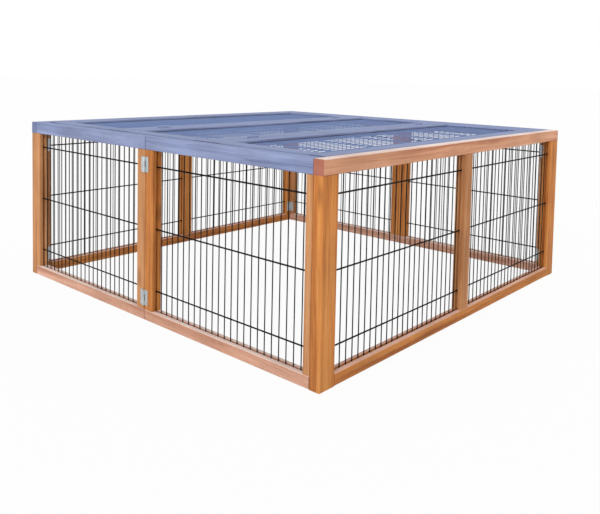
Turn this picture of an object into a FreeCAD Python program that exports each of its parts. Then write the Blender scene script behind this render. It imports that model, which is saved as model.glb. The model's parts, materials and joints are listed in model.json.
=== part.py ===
import FreeCAD, Part
import Sketcher
import os
import re
from FreeCAD import Placement, Rotation, Vector

# A square wooden pet run: two one-piece frames, two folding sides of two half panels each,
# and a roof of three panels hinged together. X runs along the front frame, Y from front to back.

doc = FreeCAD.newDocument("PetRun")
sheet = doc.addObject("Spreadsheet::Sheet", "Sizes")

RIGHT, LEFT = Vector(1, 0, 0), Vector(-1, 0, 0)
BACK, FRONT = Vector(0, 1, 0), Vector(0, -1, 0)
UP, DOWN = Vector(0, 0, 1), Vector(0, 0, -1)
ONE_EDGE, BOTH_EDGES = [1], [1, -1]

# Driving sizes, in millimetres, with counts and shares
driving = {
    "length": 1200,
    "depth": 1200,
    "height": 480,
    "timber": 28,
    "top_rail": 34,
    "bottom_rail": 28,
    "end_stile": 49,
    "mid_post": 39,
    "corner_stile": 18,
    "middle_stile": 33,
    "joint_gap": 1,
    "edge_break": 1.5,
    "roof_thick": 18,
    "roof_batten": 47,
    "roof_end_gap": 16,
    "roof_side_gap": 4,
    "rest_gap": 0.3,
    "cleat": 18,
    "frame_cleat_long": 220,
    "frame_cleat_place_share": 0.535,
    "half_cleat_deep": 40,
    "half_cleat_long": 140,
    "half_cleat_inset": 10,
    "wire_pitch": 22,
    "upright_wire": 2.7,
    "cross_wire": 4,
    "wire_sides": 6,
    "weld_gap": 0.05,
    "wire_bite": 6,
    "groove_wide": 7.4,
    "groove_deep": 8,
    "cross_pitch": 161.5,
    "cross_count": 3,
    "lowest_cross": 52,
    "leaf_tall": 40,
    "leaf_wide": 15,
    "leaf_plate": 1.5,
    "barrel": 3.2,
    "knuckle_sides": 12,
    "hinge_pin": 2,
    "running_gap": 0.05,
    "low_hinge": 60,
    "high_hinge": 408,
    "roof_hinge_share": 0.36,
}

# Sizes that follow from the driving ones
derived = {
    "half_length": "length / 2",
    "half_depth": "depth / 2",
    "inner_x": "half_length - timber",
    "inner_y": "half_depth - timber",
    "frame_y": "half_depth - timber / 2",
    "side_x": "half_length - timber / 2",
    "stile_tall": "height - top_rail",
    "bay_tall": "stile_tall - bottom_rail",
    "bay_mid": "bottom_rail + bay_tall / 2",
    "frame_inside": "length - 2 * end_stile",
    "frame_bay": "(frame_inside - mid_post) / 2",
    "frame_bay_x": "(frame_bay + mid_post) / 2",
    "half_panel": "inner_y - 2 * joint_gap",
    "half_y": "joint_gap + half_panel / 2",
    "half_bay": "half_panel - corner_stile - middle_stile",
    "half_bay_y": "joint_gap + middle_stile + half_bay / 2",
    "frame_uprights": "floor(frame_bay / wire_pitch)",
    "half_uprights": "floor(half_bay / wire_pitch)",
    "roof_long": "2 * (inner_x - roof_end_gap)",
    "roof_third": "2 * (inner_y - roof_side_gap) / 3",
    "roof_wide": "roof_third - 2 * joint_gap",
    "roof_bay_long": "roof_long - 2 * roof_batten",
    "roof_bay_wide": "roof_wide - 2 * roof_batten",
    "roof_rail_x": "(roof_long - roof_batten) / 2",
    "roof_stile_y": "(roof_wide - roof_batten) / 2",
    "roof_z": "height - roof_thick / 2",
    "roof_wires": "floor(roof_bay_wide / wire_pitch)",
    "roof_crosses": "floor(roof_bay_long / cross_pitch)",
    "cleat_z": "height - roof_thick - rest_gap - cleat / 2",
    "frame_cleat_x": "half_length * frame_cleat_place_share",
    "half_cleat_y": "half_cleat_inset + half_cleat_long / 2",
    "hinge_off": "barrel + rest_gap",
    "corner_x": "inner_x - hinge_off",
    "corner_y": "inner_y - hinge_off",
    "middle_x": "half_length + hinge_off",
    "roof_axis_y": "roof_third / 2",
    "roof_axis_z": "height + hinge_off",
    "roof_hinge_x": "roof_long * roof_hinge_share",
    "leaf_notch": "barrel + 2 * rest_gap",
    "knuckle": "leaf_tall / 3",
}

for row, (alias, value) in enumerate(driving.items(), 1):
    sheet.set(f"A{row}", alias)
    sheet.set(f"B{row}", str(value))
    sheet.setAlias(f"B{row}", alias)
for row, (alias, formula) in enumerate(derived.items(), 1):
    sheet.set(f"C{row}", alias)
    sheet.set(f"D{row}", "=" + formula)
    sheet.setAlias(f"D{row}", alias)
doc.recompute()

nodes = []


def bind(thing, place, words):
    """Tie one property to a sum of sheet sizes, written as plain words."""
    thing.setExpression(place, re.sub(r"[a-z_]+", r"Sizes.\g<0>", words))


def put(thing, centre, rotation):
    """Turn a piece and tie its place to the sheet."""
    thing.Placement = Placement(Vector(), rotation)
    for axis, words in zip("xyz", centre):
        bind(thing, "Placement.Base." + axis, words)


def facing(along_x, along_y):
    """The turn that points a piece's own x and y axes in two given directions."""
    return Rotation(along_x, along_y, along_x.cross(along_y), "XYZ")


def origin_part(body, role):
    """An origin plane or axis of a body, found by its role."""
    return next(feature for feature in body.Origin.OriginFeatures if feature.Role == role)


def rectangle(body, name, plane, wide, tall):
    """A sketched rectangle centred on one of the body's own planes."""
    sketch = body.newObject("Sketcher::SketchObject", name)
    sketch.AttachmentSupport = (origin_part(body, plane), [""])
    sketch.MapMode = "FlatFace"
    corners = [Vector(-1, -1, 0), Vector(1, -1, 0), Vector(1, 1, 0), Vector(-1, 1, 0)]
    for start, end in zip(corners, corners[1:] + corners[:1]):
        sketch.addGeometry(Part.LineSegment(start, end))
    for line in range(4):
        sketch.addConstraint(Sketcher.Constraint("Coincident", line, 2, (line + 1) % 4, 1))
    for line, way in enumerate(["Horizontal", "Vertical", "Horizontal", "Vertical"]):
        sketch.addConstraint(Sketcher.Constraint(way, line))
    sketch.addConstraint(Sketcher.Constraint("Symmetric", 0, 1, 2, 1, -1, 1))
    for line, way, words in [(0, "DistanceX", wide), (1, "DistanceY", tall)]:
        index = sketch.addConstraint(Sketcher.Constraint(way, line, 1, line, 2, 2.0))
        bind(sketch, f"Constraints[{index}]", words)
    return sketch


def batten(name, wide, thick, long, centre, along, edge, groove_long="0", groove_sides=()):
    """A sawn batten with broken edges and a groove for the net in one edge or both.

    Its own z runs along the wood and its own x points out of the grooved edge."""
    body = doc.addObject("PartDesign::Body", name)
    pad = body.newObject("PartDesign::Pad", name + "_wood")
    pad.Profile = rectangle(body, name + "_section", "XY_Plane", wide, thick)
    pad.SideType = "Symmetric"
    bind(pad, "Length", long)
    doc.recompute()
    arrises = [
        f"Edge{number}"
        for number, line in enumerate(pad.Shape.Edges, 1)
        if round(line.Vertexes[0].Z - line.Vertexes[-1].Z)
    ]
    chamfer = body.newObject("PartDesign::Chamfer", name + "_arrises")
    chamfer.Base = (pad, arrises)
    bind(chamfer, "Size", "edge_break")
    body.Tip = chamfer
    for side in groove_sides:
        sketch = rectangle(body, f"{name}_groove_{len(body.Group)}", "YZ_Plane", "groove_wide", groove_long)
        bind(sketch, "AttachmentOffset.Base.z", f"{side} * ({wide}) / 2")
        pocket = body.newObject("PartDesign::Pocket", f"{name}_cut_{len(body.Group)}")
        pocket.Profile = sketch
        pocket.Reversed = side < 0
        bind(pocket, "Length", "groove_deep")
        body.Tip = pocket
    put(body, centre, facing(edge, along.cross(edge)))
    return body


def net(name, wide, tall, count, first_cross, cross_count, centre, across, outward):
    """A welded net: close upright wires, and thicker cross wires on its outer side.

    Its own x runs across the close wires, its own y points inwards and its own z along them."""
    body = doc.addObject("PartDesign::Body", name)
    body.AllowCompound = True
    upright = body.newObject("PartDesign::AdditivePrism", name + "_upright")
    bind(upright, "Polygon", "wire_sides")
    bind(upright, "Circumradius", "upright_wire / 2")
    bind(upright, "Height", f"{tall} + 2 * wire_bite")
    bind(upright, "Placement.Base.x", f"-({count} - 1) * wire_pitch / 2")
    bind(upright, "Placement.Base.y", "(cross_wire + weld_gap) / 2")
    bind(upright, "Placement.Base.z", f"-{tall} / 2 - wire_bite")
    repeat(body, upright, "X_Axis", f"({count} - 1) * wire_pitch", count)
    cross = body.newObject("PartDesign::AdditivePrism", name + "_cross")
    cross.Placement = Placement(Vector(), facing(UP, BACK))
    bind(cross, "Polygon", "wire_sides")
    bind(cross, "Circumradius", "cross_wire / 2")
    bind(cross, "Height", f"{wide} + 2 * wire_bite")
    bind(cross, "Placement.Base.x", f"{wide} / 2 + wire_bite")
    bind(cross, "Placement.Base.y", "-(upright_wire + weld_gap) / 2")
    bind(cross, "Placement.Base.z", first_cross)
    repeat(body, cross, "Z_Axis", f"({cross_count} - 1) * cross_pitch", cross_count)
    put(body, centre, facing(across, outward.negative()))
    return body


def repeat(body, feature, axis, run, count):
    """Repeat the last feature along one of the body's own axes."""
    doc.recompute()
    pattern = body.newObject("PartDesign::LinearPattern", feature.Name + "_row")
    pattern.Originals = [feature]
    pattern.Direction = (origin_part(body, axis), [""])
    bind(pattern, "Length", run)
    bind(pattern, "Occurrences", count)
    body.Tip = pattern
    doc.recompute()


def leaf_box(body, name, start, wide, low, tall):
    """A stretch of a hinge leaf's plate, from one distance off the axis and one height."""
    box = body.newObject("PartDesign::AdditiveBox", name)
    for place, words in [("Length", wide), ("Width", "leaf_plate"), ("Height", tall)]:
        bind(box, place, words)
    for axis, words in zip("xyz", [start, "-hinge_off", low]):
        bind(box, "Placement.Base." + axis, words)
    return box


def leaf_round(body, kind, name, radius, low, tall):
    """A round feature on a hinge leaf's axis."""
    bar = body.newObject("PartDesign::" + kind, name)
    for place, words in [("Radius", radius), ("Height", tall), ("Placement.Base.z", low)]:
        bind(bar, place, words)


def leaf_knuckle(body, name, low, tall):
    """A rolled knuckle, with few flat sides because there are many of them."""
    roll = body.newObject("PartDesign::AdditivePrism", name)
    for place, words in [("Polygon", "knuckle_sides"), ("Circumradius", "barrel"), ("Height", tall)]:
        bind(roll, place, words)
    bind(roll, "Placement.Base.z", low)
    return roll


def pinned_leaf():
    """A hinge leaf with two end knuckles and the pin riveted into them."""
    body = doc.addObject("PartDesign::Body", "pinned_leaf")
    leaf_box(body, "PinnedPlate", "leaf_notch", "leaf_wide - leaf_notch", "-leaf_tall / 2", "leaf_tall")
    leaf_round(body, "AdditiveCylinder", "Pin", "hinge_pin", "-leaf_tall / 2", "leaf_tall")
    tab = leaf_box(body, "EndTab", "0", "leaf_notch", "-leaf_tall / 2", "knuckle")
    roll = leaf_knuckle(body, "EndKnuckle", "-leaf_tall / 2", "knuckle")
    doc.recompute()
    other_end = body.newObject("PartDesign::Mirrored", "OtherEnd")
    other_end.Originals = [tab, roll]
    other_end.MirrorPlane = (origin_part(body, "XY_Plane"), [""])
    body.Tip = other_end
    return body


def sleeve_leaf():
    """A hinge leaf with one middle knuckle that turns on the other leaf's pin."""
    body = doc.addObject("PartDesign::Body", "sleeve_leaf")
    leaf_box(body, "SleevePlate", "leaf_notch", "leaf_wide - leaf_notch", "-leaf_tall / 2", "leaf_tall")
    low, tall = "rest_gap - knuckle / 2", "knuckle - 2 * rest_gap"
    leaf_box(body, "MiddleTab", "0", "leaf_notch", low, tall)
    leaf_knuckle(body, "MiddleKnuckle", low, tall)
    bore = "hinge_pin + running_gap"
    leaf_round(body, "SubtractiveCylinder", "Bore", bore, "-leaf_tall / 2", "leaf_tall")
    return body


def node(piece):
    """Keep one piece for export under its own name."""
    piece.Label = piece.Name
    nodes.append(piece)


def group(name, pieces):
    """Separate solids of one kind that share a node."""
    bundle = doc.addObject("Part::Compound", name)
    bundle.Links = pieces
    node(bundle)


def leaves(name, placed):
    """A body's hinge leaves: copies of the two kinds, each on its own axis."""
    copies = []
    for number, (kind, centre, out_along, off_face) in enumerate(placed, 1):
        copy = doc.addObject("App::Link", f"{name}_leaf_{number}")
        copy.LinkedObject = kind
        put(copy, centre, facing(out_along, off_face))
        copies.append(copy)
    group(name, copies)


def frame(name, sign, outward):
    """A one-piece frame: five battens, two nets, two roof cleats and its corner hinge leaves."""
    y = f"{sign} * frame_y"
    top, low = ("0", y, "height - top_rail / 2"), ("0", y, "bottom_rail / 2")
    node(batten(name + "_top_rail", "top_rail", "timber", "length", top,
                RIGHT, DOWN, "frame_inside", ONE_EDGE))
    node(batten(name + "_bottom_rail", "bottom_rail", "timber", "frame_inside", low,
                RIGHT, UP, "frame_inside", ONE_EDGE))
    node(batten(name + "_mid_post", "mid_post", "timber", "bay_tall", ("0", y, "bay_mid"),
                UP, RIGHT, "bay_tall", BOTH_EDGES))
    cleats, hinges = [], []
    for side, hand, inward in [("left", -1, RIGHT), ("right", 1, LEFT)]:
        stile = (f"{hand} * (half_length - end_stile / 2)", y, "stile_tall / 2")
        node(batten(f"{name}_{side}_stile", "end_stile", "timber", "stile_tall", stile,
                    UP, inward, "stile_tall", ONE_EDGE))
        bay = (f"{hand} * frame_bay_x", y, "bay_mid")
        node(net(f"{name}_{side}_mesh", "frame_bay", "bay_tall", "frame_uprights",
                 "lowest_cross - bay_tall / 2", "cross_count", bay, outward.cross(DOWN), outward))
        ledge = (f"{hand} * frame_cleat_x", f"{sign} * (inner_y - cleat / 2)", "cleat_z")
        cleats.append(batten(f"{name}_{side}_cleat", "cleat", "cleat", "frame_cleat_long", ledge, RIGHT, UP))
        for high in ["low_hinge", "high_hinge"]:
            corner = (f"{hand} * corner_x", f"{sign} * corner_y", high)
            hinges.append((pinned, corner, inward, outward.negative()))
    group(name + "_cleats", cleats)
    leaves(name + "_hinges", hinges)


def half(name, hand, sign, middle_leaf):
    """Half of a folding side: four battens, a net, a roof cleat and its hinge leaves."""
    outward, to_corner = RIGHT * hand, BACK * sign
    x, y = f"{hand} * side_x", f"{sign} * half_y"
    bay = (x, f"{sign} * half_bay_y", "bay_mid")
    top, low = (x, y, "height - top_rail / 2"), (x, y, "bottom_rail / 2")
    node(batten(name + "_top_rail", "top_rail", "timber", "half_panel", top,
                BACK, DOWN, "half_panel", ONE_EDGE))
    node(batten(name + "_bottom_rail", "bottom_rail", "timber", "half_panel", low,
                BACK, UP, "half_panel", ONE_EDGE))
    for side, way in [("corner_stile", 1), ("middle_stile", -1)]:
        stile = (x, f"{sign} * (half_y + {way} * (half_panel - {side}) / 2)", "bay_mid")
        node(batten(f"{name}_{side}", side, "timber", "bay_tall", stile,
                    UP, to_corner * -way, "bay_tall", ONE_EDGE))
    node(net(name + "_mesh", "half_bay", "bay_tall", "half_uprights",
             "lowest_cross - bay_tall / 2", "cross_count", bay, outward.cross(DOWN), outward))
    ledge = (f"{hand} * (inner_x - half_cleat_deep / 2)", f"{sign} * half_cleat_y", "cleat_z")
    node(batten(name + "_cleat", "half_cleat_deep", "cleat", "half_cleat_long", ledge, BACK, RIGHT))
    hinges = []
    for high in ["low_hinge", "high_hinge"]:
        corner = (f"{hand} * corner_x", f"{sign} * corner_y", high)
        hinges.append((sleeve, corner, to_corner.negative(), outward.negative()))
        hinges.append((middle_leaf, (f"{hand} * middle_x", "0", high), to_corner, outward))
    leaves(name + "_hinges", hinges)


def roof_panel(name, place, hinges):
    """One roof panel: two long stiles, two end rails, a net and its hinge leaves on top."""
    y = f"{place} * roof_third"
    stiles, rails = [], []
    for hand, inward_y, inward_x in [(-1, BACK, RIGHT), (1, FRONT, LEFT)]:
        stile = ("0", f"{y} + {hand} * roof_stile_y", "roof_z")
        stiles.append(batten(f"{name}_stile_{len(stiles)}", "roof_batten", "roof_thick", "roof_long", stile,
                             RIGHT, inward_y, "roof_bay_long", ONE_EDGE))
        rail = (f"{hand} * roof_rail_x", y, "roof_z")
        rails.append(batten(f"{name}_rail_{len(rails)}", "roof_batten", "roof_thick", "roof_bay_wide", rail,
                            BACK, inward_x, "roof_bay_wide", ONE_EDGE))
    group(name + "_stiles", stiles)
    group(name + "_rails", rails)
    node(net(name + "_mesh", "roof_bay_wide", "roof_bay_long", "roof_wires",
             "-(roof_crosses - 1) * cross_pitch / 2", "roof_crosses", ("0", y, "roof_z"), FRONT, DOWN))
    placed = []
    for kind, side, out_along in hinges:
        for hand in [-1, 1]:
            axis = (f"{hand} * roof_hinge_x", f"{side} * roof_axis_y", "roof_axis_z")
            placed.append((kind, axis, out_along, UP))
    leaves(name + "_hinges", placed)


# The two kinds of hinge leaf
pinned = pinned_leaf()
sleeve = sleeve_leaf()

# The front and back frames
frame("front", -1, FRONT)
frame("back", 1, BACK)

# The folding sides
for side, hand in [("left", -1), ("right", 1)]:
    half(side + "_near", hand, -1, pinned)
    half(side + "_far", hand, 1, sleeve)

# The roof
roof_panel("front_lid", -1, [(sleeve, -1, FRONT)])
roof_panel("roof_middle", 0, [(pinned, -1, BACK), (pinned, 1, FRONT)])
roof_panel("back_lid", 1, [(sleeve, 1, BACK)])

# Every feature is sound before anything is written
doc.recompute()
for thing in doc.Objects:
    if "Invalid" in thing.State or "Error" in thing.State:
        raise RuntimeError(f"{thing.Name} is {thing.State}")
os.makedirs("parts", exist_ok=True)
for piece in nodes:
    if piece.Shape.isNull() or not piece.Shape.isValid():
        raise RuntimeError(f"{piece.Label} has no sound shape")
    piece.Shape.exportStep(f"parts/{piece.Label}.step")
print(len(nodes), "nodes", sum(len(piece.Shape.Solids) for piece in nodes), "solids")
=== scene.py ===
# %% [markdown]
# # A folding wooden pet run
#
# The run is a square of glazed battens with wire nets, standing on the ground with no floor. Its shapes
# come ready made from the CAD model, which is loaded as a fixed frame. This lesson gives every surface its
# finish, adds the small fixings that the CAD model leaves out, and sets the light and the camera.

# %% Load the frame
import json
import math

import bmesh
import bpy
from mathutils import Matrix, Vector


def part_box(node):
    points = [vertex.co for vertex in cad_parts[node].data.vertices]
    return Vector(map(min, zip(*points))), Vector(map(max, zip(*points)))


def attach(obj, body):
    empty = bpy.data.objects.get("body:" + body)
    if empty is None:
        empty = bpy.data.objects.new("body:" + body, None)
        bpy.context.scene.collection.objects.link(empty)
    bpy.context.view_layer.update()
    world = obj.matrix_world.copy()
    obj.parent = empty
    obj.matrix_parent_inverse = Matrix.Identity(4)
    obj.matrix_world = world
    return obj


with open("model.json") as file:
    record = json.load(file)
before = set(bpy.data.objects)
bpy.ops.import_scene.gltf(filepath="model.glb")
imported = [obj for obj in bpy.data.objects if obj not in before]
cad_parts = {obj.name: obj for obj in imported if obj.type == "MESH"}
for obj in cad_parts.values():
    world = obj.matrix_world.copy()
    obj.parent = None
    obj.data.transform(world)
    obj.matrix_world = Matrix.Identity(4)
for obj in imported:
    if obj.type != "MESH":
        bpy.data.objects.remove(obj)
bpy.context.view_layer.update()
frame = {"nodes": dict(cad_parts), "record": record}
nodes = frame["nodes"]

# %% [markdown]
# ## Tools for shader nodes
#
# Materials in Blender are small graphs. Writing each node and link by hand makes long cells, so a few
# helpers do it: they add a node with its settings, a sum, a colour ramp or a mix. Effects that several
# finishes share are node groups, so that each is built once and given its own values where it is used.


# %% Nodes and links
def feed(tree, socket, value):
    """Link another node's output into a socket, or set the socket to a constant."""
    if isinstance(value, bpy.types.NodeSocket):
        tree.links.new(value, socket)
    elif socket.type == "RGBA":
        socket.default_value = (*value, 1.0)
    else:
        socket.default_value = value


def add(tree, kind, settings=None, **inputs):
    """Add a shader node, set its properties, and set or link its inputs by name."""
    made = tree.nodes.new("ShaderNode" + kind)
    for name, value in (settings or {}).items():
        setattr(made, name, value)
    for name, value in inputs.items():
        feed(tree, made.inputs[name.replace("_", " ")], value)
    return made


def maths(tree, operation, first, second=0.0):
    """One sum of two values, each a number or another node's output."""
    made = add(tree, "Math", {"operation": operation})
    feed(tree, made.inputs[0], first)
    feed(tree, made.inputs[1], second)
    return made.outputs[0]


def scaled(tree, value, share):
    """A share of a value."""
    return maths(tree, "MULTIPLY", value, share)


def clamped(tree, value):
    """A value held between nothing and one."""
    return add(tree, "Clamp", Value=value).outputs[0]


print("node helpers ready")


# %% Colours
def linear(red, green, blue):
    """A screen colour, 0 to 255, as the linear colour that shaders take."""
    return tuple(((part / 255 + 0.055) / 1.055) ** 2.4 for part in (red, green, blue))


def ramp(tree, value, stops):
    """A colour ramp through a list of places and colours."""
    made = add(tree, "ValToRGB", Fac=value)
    elements = made.color_ramp.elements
    while len(elements) < len(stops):
        elements.new(0.5)
    for element, (place, colour) in zip(elements, stops):
        element.position = place
        element.color = (*colour, 1.0)
    return made.outputs["Color"]


def blend(tree, share, first, second, way="MIX"):
    """Mix two colours by a share, each a colour or another node's output."""
    made = add(tree, "Mix", {"data_type": "RGBA", "blend_type": way})
    sockets = [socket for socket in made.inputs if socket.enabled]
    for socket, value in zip(sockets, [share, first, second]):
        feed(tree, socket, value)
    return next(socket for socket in made.outputs if socket.enabled)


print("mid grey is", round(linear(128, 128, 128)[0], 3), "in linear light")

# %% Groups and materials
VECTOR, FLOAT = "NodeSocketVector", "NodeSocketFloat"


def new_group(name, inputs, outputs):
    """An empty shader node group with named sockets."""
    group = bpy.data.node_groups.new(name, "ShaderNodeTree")
    for label, kind in inputs:
        group.interface.new_socket(label, in_out="INPUT", socket_type=kind)
    for label in outputs:
        group.interface.new_socket(label, in_out="OUTPUT", socket_type=FLOAT)
    return group, group.nodes.new("NodeGroupInput"), group.nodes.new("NodeGroupOutput")


def put_out(group, sink, values):
    """Link a group's results to its outputs."""
    for label, value in values.items():
        group.links.new(value, sink.inputs[label])


def new_material(name):
    """A material with only a Principled shader in it, and that shader."""
    material = bpy.data.materials.new(name)
    material.use_nodes = True
    return material, material.node_tree, material.node_tree.nodes["Principled BSDF"]


print("groups and materials ready")

# %% [markdown]
# ## Sawn grain
#
# Softwood shows long streaks along the batten: pale early wood, darker late wood, and fine pores. Wave
# textures give stripes that look printed. Here noise is stretched a long way in one direction instead, at
# two widths, which gives streaks that wander and fade as real ones do. The group asks for coordinates in
# which the third axis runs along the wood, so that one group serves rails and stiles alike. First the
# coordinates are bent a little, because no tree grows quite straight.

# %% Bent coordinates
BENDS_PER_METRE, BEND_REACH = 3.0, 0.016
grain, grain_in, grain_out = new_group(
    "sawn_grain", [("Along", VECTOR)], ["Streak", "Fine", "Knot", "Ring", "Height"]
)
straight = grain_in.outputs["Along"]
slow = add(grain, "Mapping", Vector=straight, Scale=[BENDS_PER_METRE] * 3)
wander = add(grain, "TexNoise", Vector=slow.outputs[0], Scale=1.0, Detail=2.0)
bend = add(grain, "VectorMath", {"operation": "MULTIPLY_ADD"})
for socket, value in zip(bend.inputs, [wander.outputs["Color"], (BEND_REACH, BEND_REACH, 0.0), straight]):
    feed(grain, socket, value)
bent = bend.outputs[0]
print("grain bends by up to", BEND_REACH * 1000, "mm")

# %% Streaks and pores
STREAKS_PER_METRE, STREAKS_ALONG = 70.0, 2.0
PORES_PER_METRE, PORES_ALONG = 420.0, 9.0


def drawn_out(tree, coords, across, along, **settings):
    """Noise stretched along the wood, with so many spots to a metre across it and along it."""
    stretch = add(tree, "Mapping", Vector=coords, Scale=(across, across, along))
    return add(tree, "TexNoise", Vector=stretch.outputs[0], Scale=1.0, **settings).outputs["Fac"]


broad = drawn_out(grain, bent, STREAKS_PER_METRE, STREAKS_ALONG, Detail=4.0, Roughness=0.55)
fine = drawn_out(grain, bent, PORES_PER_METRE, PORES_ALONG, Detail=3.0, Roughness=0.7)
for label, count in [("streaks", STREAKS_PER_METRE), ("pores", PORES_PER_METRE)]:
    print(label, "every", round(1000 / count, 1), "mm")

# %% [markdown]
# ## Growth rings
#
# Where a batten is sawn across, the tree's yearly rings show as thin arcs. A wave texture set to rings could
# draw them. A sine of the distance from an axis does the same with plain sums, and it takes the bent
# coordinates that the streaks use already. The axis passes through the middle of the run, about half a metre
# from the nearest batten, so the arcs are nearly straight, as in battens sawn from the outside of a trunk.

# %% Rings
RINGS_PER_METRE = 300.0
flat = add(grain, "VectorMath", {"operation": "MULTIPLY"})
for socket, value in zip(flat.inputs, [bent, (1.0, 1.0, 0.0)]):
    feed(grain, socket, value)
reach = add(grain, "VectorMath", {"operation": "LENGTH"}, Vector=flat.outputs[0]).outputs["Value"]
turns = scaled(grain, reach, RINGS_PER_METRE * 2 * math.pi)
ring_line = clamped(grain, maths(grain, "SINE", turns))
print("rings every", round(1000 / RINGS_PER_METRE, 1), "mm")

# %% [markdown]
# ## Knots
#
# A knot is where a branch left the trunk. It is an oval of hard dark wood, every few hand widths. Voronoi
# cells give one point each, and only the ground close to a point becomes a knot, so most of a batten is
# clear. The grain's height joins streaks and pores, and serves for the bump in the finish.

# %% Knots and grain height
KNOTS_PER_METRE, KNOTS_ALONG, KNOT_FALL = 9.0, 3.4, 8.5
BROAD_SHARE, FINE_SHARE, PORE_SHARE = 0.65, 0.35, 0.8
knot_map = add(grain, "Mapping", Vector=bent, Scale=(KNOTS_PER_METRE, KNOTS_PER_METRE, KNOTS_ALONG))
cells = add(grain, "TexVoronoi", Vector=knot_map.outputs[0], Scale=1.0, Randomness=1.0)
away = scaled(grain, cells.outputs["Distance"], KNOT_FALL)
knot = clamped(grain, maths(grain, "SUBTRACT", 1.0, away))
streak = maths(grain, "ADD", scaled(grain, broad, BROAD_SHARE), scaled(grain, fine, FINE_SHARE))
height = maths(grain, "ADD", streak, scaled(grain, fine, PORE_SHARE))
put_out(grain, grain_out,
        {"Streak": streak, "Fine": fine, "Knot": knot, "Ring": ring_line, "Height": height})
print("grain group with", len(grain.nodes), "nodes")

# %% [markdown]
# ## Weathering and a painted highlight
#
# A run lives on the lawn. Its lowest few centimetres take up splashed soil, and rain leaves pale and dark
# patches in the glaze. Faces that look up get a painted highlight, a paler tone in place of the light on
# their tops, stronger in the pale patches. This group gives a mask for each. It uses object coordinates and
# the object's own normals, because they stay with a panel when it folds.

# %% The weathering and highlight group
PATCHES_PER_METRE, SPOTS_PER_METRE = 7.0, 60.0
SPLASH_FADE, HIGHLIGHT_LEAST = 14.0, 0.25
weather_and_light, weather_and_light_in, weather_and_light_out = new_group(
    "lawn_weathering_and_light", [("Place", VECTOR), ("Facing", VECTOR)], ["Splash", "Patch", "Highlight"]
)
place = weather_and_light_in.outputs["Place"]
patches = add(weather_and_light, "TexNoise", Vector=place, Scale=PATCHES_PER_METRE, Detail=5.0).outputs["Fac"]
spots = add(weather_and_light, "TexNoise", Vector=place, Scale=SPOTS_PER_METRE, Detail=3.0).outputs["Fac"]
level = add(weather_and_light, "SeparateXYZ", Vector=place).outputs["Z"]
low = maths(weather_and_light, "SUBTRACT", 1.0, scaled(weather_and_light, level, SPLASH_FADE))
splash = clamped(weather_and_light, maths(weather_and_light, "MULTIPLY", low, spots))
# Painted highlight: faces that look up are pushed towards a pale tone, which stands in for the light on
# their tops.
skyward = add(weather_and_light, "SeparateXYZ", Vector=weather_and_light_in.outputs["Facing"]).outputs["Z"]
wear_and_highlight = maths(weather_and_light, "ADD", patches, HIGHLIGHT_LEAST)
top_highlight = maths(weather_and_light, "MULTIPLY", clamped(weather_and_light, skyward), wear_and_highlight)
put_out(weather_and_light, weather_and_light_out, {"Splash": splash, "Patch": patches, "Highlight": top_highlight})
print("soil splashes reach", round(1000 / SPLASH_FADE), "mm up")

# %% [markdown]
# ## Glazed wood
#
# The battens carry a thin glaze, orange brown on the frames and blue grey on what opens: the roof and the
# top rails of the folding sides. A glaze is translucent, so the grain reads through it as darker streaks,
# and the saw cut ends, which drink more of it, are darker still. One maker builds every glaze for each of
# the three directions that a batten can run, because the grain has to follow the wood. Each batten also
# takes its own stretch of the grain from its object's random number, so that two in line don't share a
# streak.

# %% Coordinates along the wood
SHIFT_REACH = 40.0


def along_wood(tree, coords, direction):
    """Object coordinates turned so that Z runs along the batten, shifted for each batten."""
    split = add(tree, "SeparateXYZ", Vector=coords.outputs["Object"]).outputs
    across, up, along = split[(direction + 1) % 3], split[(direction + 2) % 3], split[direction]
    own = add(tree, "ObjectInfo").outputs["Random"]
    shifted = maths(tree, "ADD", along, scaled(tree, own, SHIFT_REACH))
    return add(tree, "CombineXYZ", X=across, Y=up, Z=shifted).outputs[0]


print("wood coordinates shifted by up to", SHIFT_REACH, "m")

# %% The wood maker
GRAIN_STOPS = [("dark", 0.36), ("middle", 0.5), ("pale", 0.64)]
PATCH_STOPS = [(0.35, (0.86, 0.84, 0.82)), (0.65, (1.06, 1.06, 1.06))]
KNOT_SHARE, HIGHLIGHT_SHARE, END_SHARE, RING_SHARE, SOIL_SHARE = 0.8, 0.95, 0.8, 0.5, 0.3
END_FACING = 0.9
GLAZE_ROUGHNESS, PORE_ROUGHNESS, GLAZE_SHINE = 0.5, 0.25, 0.3
GRAIN_BUMP, GRAIN_DEPTH = 0.6, 0.0006


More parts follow.
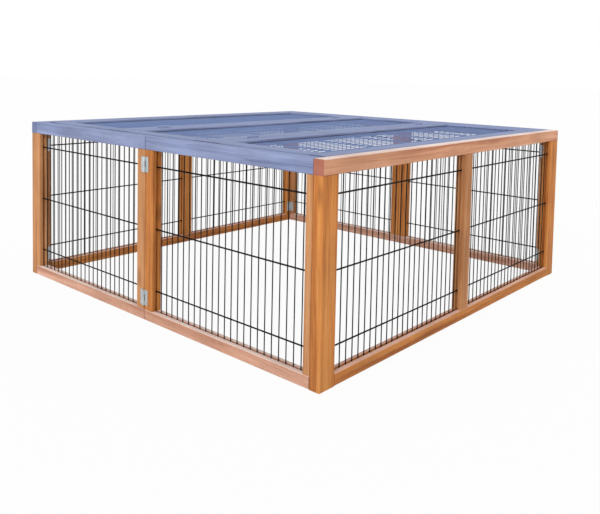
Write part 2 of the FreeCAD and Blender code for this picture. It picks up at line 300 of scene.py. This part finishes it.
def glazed_wood(name, direction, tones):
    """A glazed batten whose grain runs along one axis, 0 for X, 1 for Y and 2 for Z."""
    material, tree, shader = new_material(name)
    coords = add(tree, "TexCoord")
    own_grain = add(tree, "Group", {"node_tree": grain}, Along=along_wood(tree, coords, direction)).outputs
    own_weather_and_light = add(tree, "Group", {"node_tree": weather_and_light}, Place=coords.outputs["Object"],
                      Facing=coords.outputs["Normal"]).outputs
    wood = ramp(tree, own_grain["Streak"], [(stop, tones[tone]) for tone, stop in GRAIN_STOPS])
    wood = blend(tree, 1.0, wood, ramp(tree, own_weather_and_light["Patch"], PATCH_STOPS), "MULTIPLY")
    facing = add(tree, "SeparateXYZ", Vector=coords.outputs["Normal"]).outputs[direction]
    sawn_end = maths(tree, "GREATER_THAN", maths(tree, "ABSOLUTE", facing), END_FACING)
    end_ring = maths(tree, "MULTIPLY", sawn_end, own_grain["Ring"])
    # The mask for faces that look up is a painted highlight; knots, sawn ends, rings and soil are the wood's
    # own colour.
    for mask, share, tone in [
        (own_grain["Knot"], KNOT_SHARE, "knot"), (own_weather_and_light["Highlight"], HIGHLIGHT_SHARE, "top_lit"),
        (sawn_end, END_SHARE, "end"), (end_ring, RING_SHARE, "knot"),
        (own_weather_and_light["Splash"], SOIL_SHARE, "soil"),
    ]:
        wood = blend(tree, scaled(tree, mask, share), wood, tones[tone])
    feed(tree, shader.inputs["Base Color"], wood)
    pores = scaled(tree, own_grain["Fine"], PORE_ROUGHNESS)
    feed(tree, shader.inputs["Roughness"], maths(tree, "ADD", GLAZE_ROUGHNESS, pores))
    feed(tree, shader.inputs["Specular IOR Level"], GLAZE_SHINE)
    bump = add(tree, "Bump", Strength=GRAIN_BUMP, Distance=GRAIN_DEPTH, Height=own_grain["Height"])
    feed(tree, shader.inputs["Normal"], bump.outputs[0])
    return material


print("wood maker ready")

# %% [markdown]
# ## Five glazes
#
# Wood takes a glaze differently from board to board. Most upright posts came out orange. The narrow corner
# stiles of the folding sides, the posts around the far left net and the front's mid post are tawny, the long
# front rail is rosier, and the low rails of the folding sides are pale pink. The parts that open are blue,
# and so is the rail at the back of the roof. The tones were set by comparing the render with the photograph
# face by face. They are written as screen colours, because that is how an eye dropper gives them.

# %% Glaze colours
# In each set, the tone for faces that look up is a painted highlight, pale in place of the light on their
# tops.
SOIL = linear(104, 78, 52)
orange_tones = {
    "pale": linear(214, 146, 78), "middle": linear(196, 123, 57), "dark": linear(152, 84, 34),
    "knot": linear(92, 48, 24), "top_lit": linear(250, 208, 194), "end": linear(166, 98, 62),
    "soil": SOIL,
}
tawny_tones = {
    "pale": linear(208, 152, 104), "middle": linear(190, 132, 84), "dark": linear(158, 102, 60),
    "knot": linear(100, 56, 34), "top_lit": linear(252, 224, 214), "end": linear(168, 98, 72),
    "soil": SOIL,
}
rosy_tones = {
    "pale": linear(222, 168, 136), "middle": linear(206, 148, 114), "dark": linear(174, 108, 76),
    "knot": linear(112, 62, 42), "top_lit": linear(254, 240, 234), "end": linear(170, 98, 84),
    "soil": SOIL,
}
pink_tones = {
    "pale": linear(226, 180, 158), "middle": linear(210, 160, 136), "dark": linear(182, 128, 104),
    "knot": linear(128, 76, 56), "top_lit": linear(255, 236, 226), "end": linear(186, 118, 98),
    "soil": SOIL,
}
blue_tones = {
    "pale": linear(150, 161, 197), "middle": linear(130, 141, 178), "dark": linear(100, 111, 148),
    "knot": linear(92, 100, 134), "top_lit": linear(134, 148, 188), "end": linear(108, 118, 154),
    "soil": SOIL,
}
AXES = "xyz"
tones_of = {
    "orange": orange_tones, "tawny": tawny_tones, "rosy": rosy_tones, "pink": pink_tones, "blue": blue_tones,
}
orange, tawny, rosy, pink, blue = [
    [glazed_wood(f"{name}_glaze_{AXES[way]}", way, tones) for way in range(len(AXES))]
    for name, tones in tones_of.items()
]
print("wood finishes", [finish.name for finish in orange + tawny + rosy + pink + blue])

# %% [markdown]
# ## Dress the battens
#
# Each batten is one CAD node, and its longest side tells which way its grain runs. A node that holds a pair
# of battens can be longest the other way, because the pair lies apart, so those are named outright: roof
# stiles and frame cleats run along X, and roof end rails along Y.

# %% Give each batten its grain
slot_of = {part["node"]: part["material_slot"] for part in frame["record"]["subparts"]}
PAIRS_ALONG_X = ("_stiles", "_cleats")
PAIRS_ALONG_Y = ("_rails",)
HALF_PANELS = ("left_near", "left_far", "right_near", "right_far")
own_glaze = {panel + "_bottom_rail": pink for panel in HALF_PANELS}
own_glaze.update({panel + "_corner_stile": tawny for panel in HALF_PANELS})
own_glaze.update({name: tawny for name in ("left_far_middle_stile", "back_left_stile", "front_mid_post")})
own_glaze["front_top_rail"] = rosy
own_glaze["back_top_rail"] = blue


def dress(name, material):
    """Put one finish on a CAD node."""
    slots = nodes[name].data.materials
    slots.clear()
    slots.append(material)


def grain_way(name):
    """The axis along which a batten's wood runs."""
    if name.endswith(PAIRS_ALONG_X):
        return 0
    if name.endswith(PAIRS_ALONG_Y):
        return 1
    lowest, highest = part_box(name)
    size = [high - low for low, high in zip(lowest, highest)]
    return size.index(max(size))


for name, slot in slot_of.items():
    if slot == "wood":
        dress(name, own_glaze.get(name, orange)[grain_way(name)])
    if slot == "blue_wood":
        dress(name, blue[grain_way(name)])
print("battens dressed", sum(slot.endswith("wood") for slot in slot_of.values()))

# %% [markdown]
# ## Coated wire
#
# The nets are welded wire under a dull coat. From a step away they read as black lines, but close to, the
# coat has a slight orange peel and thin rubbed places. One maker serves the black wall nets and the blue
# grey roof nets.

# %% The wire maker
PEEL_PER_METRE, RUBS_PER_METRE = 900.0, 45.0
RUB_START, RUB_FULL = 0.58, 0.8
COAT_ROUGHNESS, RUB_ROUGHNESS, COAT_SHINE = 0.45, 0.3, 0.12
PEEL_BUMP, PEEL_DEPTH = 0.2, 0.0002


def coated_wire(name, coat, rubbed):
    """Welded wire under a dull coat that is rubbed thin in places."""
    material, tree, shader = new_material(name)
    coords = add(tree, "TexCoord").outputs["Object"]
    peel = add(tree, "TexNoise", Vector=coords, Scale=PEEL_PER_METRE, Detail=2.0).outputs["Fac"]
    rubs = add(tree, "TexNoise", Vector=coords, Scale=RUBS_PER_METRE, Detail=6.0, Roughness=0.7)
    wear_and_highlight = rubs.outputs["Fac"]
    feed(tree, shader.inputs["Base Color"], ramp(tree, wear_and_highlight, [(RUB_START, coat), (RUB_FULL, rubbed)]))
    rough = maths(tree, "ADD", COAT_ROUGHNESS, scaled(tree, wear_and_highlight, RUB_ROUGHNESS))
    feed(tree, shader.inputs["Roughness"], rough)
    feed(tree, shader.inputs["Specular IOR Level"], COAT_SHINE)
    bump = add(tree, "Bump", Strength=PEEL_BUMP, Distance=PEEL_DEPTH, Height=peel)
    feed(tree, shader.inputs["Normal"], bump.outputs[0])
    return material


black_wire = coated_wire("black_wire_coat", linear(6, 6, 8), linear(44, 42, 40))
blue_wire = coated_wire("blue_wire_coat", linear(124, 144, 190), linear(142, 158, 197))
for name, slot in slot_of.items():
    if slot == "black_wire":
        dress(name, black_wire)
    if slot == "blue_wire":
        dress(name, blue_wire)
print("nets dressed", sum(slot.endswith("wire") for slot in slot_of.values()))

# %% [markdown]
# ## Hinge plate
#
# The wall hinges are pressed from zinc plated steel. Zinc is a bright grey with a mottled bloom where it
# has met rain, so both its tone and its roughness change over it. On the roof the blue glaze was brushed
# over the hinges as well, so they get the same bloom in dull blue. Both use one group for the bloom.

# %% The bloom group
CLOUDS_PER_METRE, SPANGLES_PER_METRE = 160.0, 420.0
CLOUD_SHARE, SPANGLE_SHARE = 0.7, 0.3
bloom, bloom_in, bloom_out = new_group("zinc_bloom", [("Place", VECTOR)], ["Cloud", "Tone"])
spot = bloom_in.outputs["Place"]
clouds = add(bloom, "TexNoise", Vector=spot, Scale=CLOUDS_PER_METRE, Detail=6.0, Roughness=0.65)
cloud = clouds.outputs["Fac"]
spangle = add(bloom, "TexVoronoi", Vector=spot, Scale=SPANGLES_PER_METRE).outputs["Distance"]
tone = maths(bloom, "ADD", scaled(bloom, cloud, CLOUD_SHARE), scaled(bloom, spangle, SPANGLE_SHARE))
put_out(bloom, bloom_out, {"Cloud": cloud, "Tone": tone})
print("bloom group with", len(bloom.nodes), "nodes")

# %% The hinge plates
DULL_STOP, BRIGHT_STOP = 0.3, 0.6
PLATE_ROUGHNESS, BLOOM_ROUGHNESS = 0.3, 0.3
BLOOM_BUMP, BLOOM_DEPTH = 0.15, 0.0002
BARE_METAL, GLAZED_OVER = 0.75, 0.0


def hinge_plate(name, dull, bright, metal):
    """Plated or painted steel with a mottled bloom."""
    material, tree, shader = new_material(name)
    coords = add(tree, "TexCoord").outputs["Object"]
    own = add(tree, "Group", {"node_tree": bloom}, Place=coords).outputs
    plate = ramp(tree, own["Tone"], [(DULL_STOP, dull), (BRIGHT_STOP, bright)])
    feed(tree, shader.inputs["Base Color"], plate)
    rough = maths(tree, "ADD", PLATE_ROUGHNESS, scaled(tree, own["Cloud"], BLOOM_ROUGHNESS))
    feed(tree, shader.inputs["Roughness"], rough)
    feed(tree, shader.inputs["Metallic"], metal)
    bump = add(tree, "Bump", Strength=BLOOM_BUMP, Distance=BLOOM_DEPTH, Height=own["Tone"])
    feed(tree, shader.inputs["Normal"], bump.outputs[0])
    return material


zinc = hinge_plate("zinc_plate", linear(164, 170, 172), linear(208, 214, 216), BARE_METAL)
blue_zinc = hinge_plate("glazed_zinc_plate", linear(118, 128, 164), linear(150, 162, 198), GLAZED_OVER)
ROOF_BODIES = ("front_lid", "roof_middle", "back_lid")
for name, slot in slot_of.items():
    if slot == "zinc":
        dress(name, blue_zinc if name.startswith(ROOF_BODIES) else zinc)
print("hinge sets dressed", sum(slot == "zinc" for slot in slot_of.values()))

# %% [markdown]
# ## Hinge screws
#
# Every leaf is held by two low cross head screws. They are too small for the CAD model, but without them
# the hinges look glued on. One head is turned as a low dome in rings of points, and the innermost ring is
# pulled in between the four arms to leave a cross, whose floor lies deeper.

# %% One screw head
HEAD_RADIUS, HEAD_RISE = 0.0024, 0.0006
SIDES_PER_ARM, ARMS = 4, 4
HEAD_SIDES = SIDES_PER_ARM * ARMS
HEAD_RINGS = [(1.0, 0.0), (0.94, 0.55), (0.74, 0.9)]
CROSS_ARM_SHARE, CROSS_NECK_SHARE, CROSS_FLOOR_SHARE = 0.5, 0.2, 0.25


def ring(mesh, placing, reaches, lift):
    """A closed row of points at given distances from the screw's axis."""
    points = []
    for side, reach in enumerate(reaches):
        angle = 2 * math.pi * side / len(reaches)
        spot = Vector((reach * math.cos(angle), reach * math.sin(angle), lift))
        points.append(mesh.verts.new(placing @ spot))
    return points


def screw_head(mesh, at, normal):
    """Add a low domed head with a cross recess, standing on a plate."""
    placing = Matrix.Translation(at) @ normal.to_track_quat("Z", "Y").to_matrix().to_4x4()
    rows = []
    for share, lift_share in HEAD_RINGS:
        rows.append(ring(mesh, placing, [HEAD_RADIUS * share] * HEAD_SIDES, HEAD_RISE * lift_share))
    necks = range(SIDES_PER_ARM // 2, HEAD_SIDES, SIDES_PER_ARM)
    cross = [CROSS_NECK_SHARE if side in necks else CROSS_ARM_SHARE for side in range(HEAD_SIDES)]
    for lift_share in (1.0, CROSS_FLOOR_SHARE):
        rows.append(ring(mesh, placing, [HEAD_RADIUS * share for share in cross], HEAD_RISE * lift_share))
    for outer, inner in zip(rows, rows[1:]):
        for side in range(HEAD_SIDES):
            after = (side + 1) % HEAD_SIDES
            mesh.faces.new([outer[side], outer[after], inner[after], inner[side]])
    mesh.faces.new(rows[-1])
    mesh.faces.new(reversed(rows[0]))


print("screw head", HEAD_RADIUS * 2000, "mm across")

# %% [markdown]
# ## Find the leaves
#
# The screws have to sit on the plates, wherever the CAD model puts those. A hinge node holds several leaves,
# and each is one island of mesh once a copy's doubled corners are welded. In a leaf the two largest flat
# faces are the back and the front of its plate, and the front is the one that lies on the knuckle's side.

# %% Islands and plates
PLANE_DECIMALS = 4


def islands(mesh):
    """The separate solids in a mesh, as lists of points."""
    waiting = set(mesh.verts)
    while waiting:
        stack, island = [waiting.pop()], []
        while stack:
            point = stack.pop()
            island.append(point)
            near = {edge.other_vert(point) for edge in point.link_edges} & waiting
            waiting -= near
            stack.extend(near)
        yield island


def plate_front(island):
    """The outward direction and the corners of a leaf's front face."""
    flats = {}
    for face in {face for point in island for face in point.link_faces}:
        facing = tuple(round(part) for part in face.normal)
        level = round(face.calc_center_median().dot(face.normal), PLANE_DECIMALS)
        flats.setdefault((facing, level), []).append(face)
    broad = sorted(flats, key=lambda flat: sum(face.calc_area() for face in flats[flat]))[-2:]
    middle = sum((point.co for point in island), Vector()) / len(island)
    front = max(broad, key=lambda flat: Vector(flat[0]).dot(middle) - flat[1])
    return Vector(front[0]), [point.co for face in flats[front] for point in face.verts]


print("leaf finder ready")

# %% [markdown]
# ## Screws on every leaf
#
# Two screws go on the plate's middle line, about a quarter of its length from the middle each way. All the
# screws of one body are one piece, which rides on that body, so a folding panel takes its screws along.

# %% Place the screws
SCREW_SHARE = 0.27
WELD_REACH = 0.00001


def leaf_screws(mesh, island):
    """Two screws on one leaf's plate."""
    normal, corners = plate_front(island)
    lowest = Vector([min(corner[way] for corner in corners) for way in range(3)])
    highest = Vector([max(corner[way] for corner in corners) for way in range(3)])
    size = highest - lowest
    run = Vector([part if part == max(size) else 0.0 for part in size])
    for side in (-1, 1):
        screw_head(mesh, (lowest + highest) / 2 + run * side * SCREW_SHARE, normal)


def new_piece(name, mesh, material, body):
    """A mesh object that rides on a body and takes its finish from a slot."""
    bmesh.ops.recalc_face_normals(mesh, faces=mesh.faces)
    data = bpy.data.meshes.new(name)
    mesh.to_mesh(data)
    mesh.free()
    data.materials.append(material)
    piece = bpy.data.objects.new(name, data)
    bpy.context.scene.collection.objects.link(piece)
    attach(piece, body)
    return piece


for body, members in frame["record"]["behaviour"]["bodies"].items():
    screws = bmesh.new()
    for name in members:
        if slot_of[name] == "zinc":
            leaves = bmesh.new()
            leaves.from_mesh(nodes[name].data)
            bmesh.ops.remove_doubles(leaves, verts=leaves.verts, dist=WELD_REACH)
            for island in islands(leaves):
                leaf_screws(screws, island)
            leaves.free()
    piece = new_piece(body + "_screws", screws, blue_zinc if body in ROOF_BODIES else zinc, body)
    print(piece.name, len(piece.data.polygons), "faces")

# %% [markdown]
# ## Floor
#
# The photograph is a cut out on white, with no shadow to speak of. A large white floor keeps a faint shadow,
# so that the run stands on something. For the camera the floor is mostly glowing white paper, and only a
# part of it is lit by the lamp and the world: that part carries the shadow.

# %% Floor
FLOOR_REACH, FLOOR_DROP = 40.0, 0.0005
GLOW_SHARE = 0.93
FIBRES_PER_METRE = 40.0
PAPER_STOPS = [(0.3, (0.92, 0.92, 0.92)), (0.7, (0.96, 0.96, 0.96))]
grid = bmesh.new()
bmesh.ops.create_grid(grid, x_segments=1, y_segments=1, size=FLOOR_REACH)
floor_data = bpy.data.meshes.new("studio_floor")
grid.to_mesh(floor_data)
grid.free()
floor = bpy.data.objects.new("studio_floor", floor_data)
floor.location.z = -FLOOR_DROP
bpy.context.scene.collection.objects.link(floor)
paper, tree, shader = new_material("white_paper_floor")
coords = add(tree, "TexCoord").outputs["Object"]
fibre = add(tree, "TexNoise", Vector=coords, Scale=FIBRES_PER_METRE, Detail=4.0)
feed(tree, shader.inputs["Base Color"], ramp(tree, fibre.outputs["Fac"], PAPER_STOPS))
feed(tree, shader.inputs["Roughness"], 0.9)
feed(tree, shader.inputs["Specular IOR Level"], 0.0)
rays = add(tree, "LightPath").outputs
glow = add(tree, "Emission", Color=(1.0, 1.0, 1.0), Strength=1.0)
mixed = add(tree, "MixShader", Fac=maths(tree, "MULTIPLY", rays["Is Camera Ray"], GLOW_SHARE))
tree.links.new(shader.outputs[0], mixed.inputs[1])
tree.links.new(glow.outputs[0], mixed.inputs[2])
tree.links.new(mixed.outputs[0], tree.nodes["Material Output"].inputs["Surface"])
floor_data.materials.append(paper)
print("floor", FLOOR_REACH * 2, "m across")

# %% [markdown]
# ## Light
#
# In the photograph the two near sides are about equally bright, so the main light comes from behind the
# camera, from the left and from above. A wide sun lamp gives the same light everywhere, which keeps the far
# floor as white as the near floor, where an area lamp would fade. The world fills the shadows.

# %% World and lamp
scene = bpy.context.scene
scene.view_settings.view_transform = "Standard"
WORLD_FILL = 0.62
LAMP_STRENGTH, LAMP_SPREAD = 1.8, math.radians(50.0)
LAMP_WAY = Vector((0.82, 0.42, -0.52))
world = bpy.data.worlds.new("studio_world")
scene.world = world
world.use_nodes = True
sky = world.node_tree
rays = add(sky, "LightPath").outputs
seen = maths(sky, "MAXIMUM", rays["Is Camera Ray"],
             maths(sky, "MAXIMUM", rays["Is Glossy Ray"], rays["Is Transmission Ray"]))
backdrop = sky.nodes["Background"]
feed(sky, backdrop.inputs["Color"], (1.0, 1.0, 1.0))
strength = maths(sky, "ADD", WORLD_FILL, scaled(sky, seen, 1.0 - WORLD_FILL))
feed(sky, backdrop.inputs["Strength"], strength)
lamp_data = bpy.data.lights.new("key_lamp", "SUN")
lamp_data.energy = LAMP_STRENGTH
lamp_data.angle = LAMP_SPREAD
lamp = bpy.data.objects.new("key_lamp", lamp_data)
lamp.rotation_euler = LAMP_WAY.to_track_quat("-Z", "Y").to_euler()
scene.collection.objects.link(lamp)
print("lamp", lamp_data.energy, "world", WORLD_FILL)

# %% [markdown]
# ## Camera
#
# The camera was found from the photograph itself: the seven visible corners of a box of 120 by 120 by 48 cm
# fix where it stood, close to the front corner and a little above the roof. The upright edges don't lean in
# the photograph, so the camera is tipped only a little, and the lens is shifted down instead, as it is for
# pictures of houses.

# %% Camera
IMAGE_WIDE, IMAGE_TALL = 600, 514
SENSOR_WIDE = 36.0
CAMERA_PLACE = (-1.64, -1.469, 0.652)
FOCAL_PIXELS = 685.0
CENTRE_COLUMN, CENTRE_ROW = 308.0, 114.8
HEADING, TILT, ROLL = math.radians(41.33), math.radians(-3.52), math.radians(1.2)
camera_data = bpy.data.cameras.new("photo_camera")
camera_data.sensor_width = SENSOR_WIDE
camera_data.lens = FOCAL_PIXELS / IMAGE_WIDE * SENSOR_WIDE
camera_data.shift_x = (IMAGE_WIDE / 2 - CENTRE_COLUMN) / IMAGE_WIDE
camera_data.shift_y = (CENTRE_ROW - IMAGE_TALL / 2) / IMAGE_WIDE
camera = bpy.data.objects.new("photo_camera", camera_data)
camera.location = CAMERA_PLACE
level = math.cos(TILT)
look = Vector((math.cos(HEADING) * level, math.sin(HEADING) * level, math.sin(TILT)))
roll = Matrix.Rotation(ROLL, 3, "Z").to_quaternion()
camera.rotation_mode = "QUATERNION"
camera.rotation_quaternion = look.to_track_quat("-Z", "Y") @ roll
scene.collection.objects.link(camera)
scene.camera = camera
shifts = [round(shift, 3) for shift in (camera_data.shift_x, camera_data.shift_y)]
print("camera lens", round(camera_data.lens, 2), "mm, shifts", shifts)
